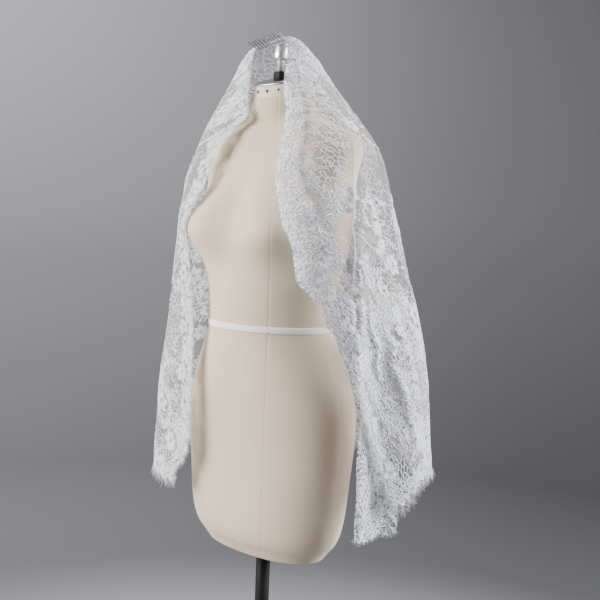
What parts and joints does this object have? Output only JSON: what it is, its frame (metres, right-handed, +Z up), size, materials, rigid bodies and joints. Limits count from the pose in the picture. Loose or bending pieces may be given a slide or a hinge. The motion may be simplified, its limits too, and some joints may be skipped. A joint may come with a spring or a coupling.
{
  "type": "lace bridal veil on limbless dress form",
  "caption": "Waist-length lace mantilla veil with a scalloped, fringed edge, hung from a wire comb over the neck finial of a limbless linen dress form on a round-based pole.",
  "frame": {"origin": "centre of the round base's underside", "axes": "+Z up along the pole, -Y the way the form's chest faces, +X to the wearer's left"},
  "size_m": [0.5104, 0.4204, 1.4922],
  "materials": {
    "lace": "white net lace with a soft sheen",
    "linen": "matt cream linen stretched over a padded shell",
    "cap": "smooth cream covered board",
    "steel": "dull grey metal",
    "chrome": "polished",
    "black_metal": "black powder coat",
    "tape": "narrow woven tape"
  },
  "bodies": {
    "root": {"base_plate": "black_metal", "base_collar": "black_metal", "pole": "black_metal", "form_torso": "linen", "form_neck_cap": "cap", "neck_plate": "steel", "clamp_block": "black_metal", "finial": "chrome", "waist_tape": "tape", "veil_near_fall": "lace", "veil_back_fall": "lace", "veil_far_fall": "lace", "veil_inner_lap": "lace", "border_front_turned": "lace", "border_near_hem": "lace", "border_back_hem": "lace", "border_far_hem": "lace", "lash_near_hem": "lace", "lash_back_hem": "lace", "lash_far_hem": "lace", "lash_inner_lap": "lace", "comb": "steel"}
  },
  "joints": []
}
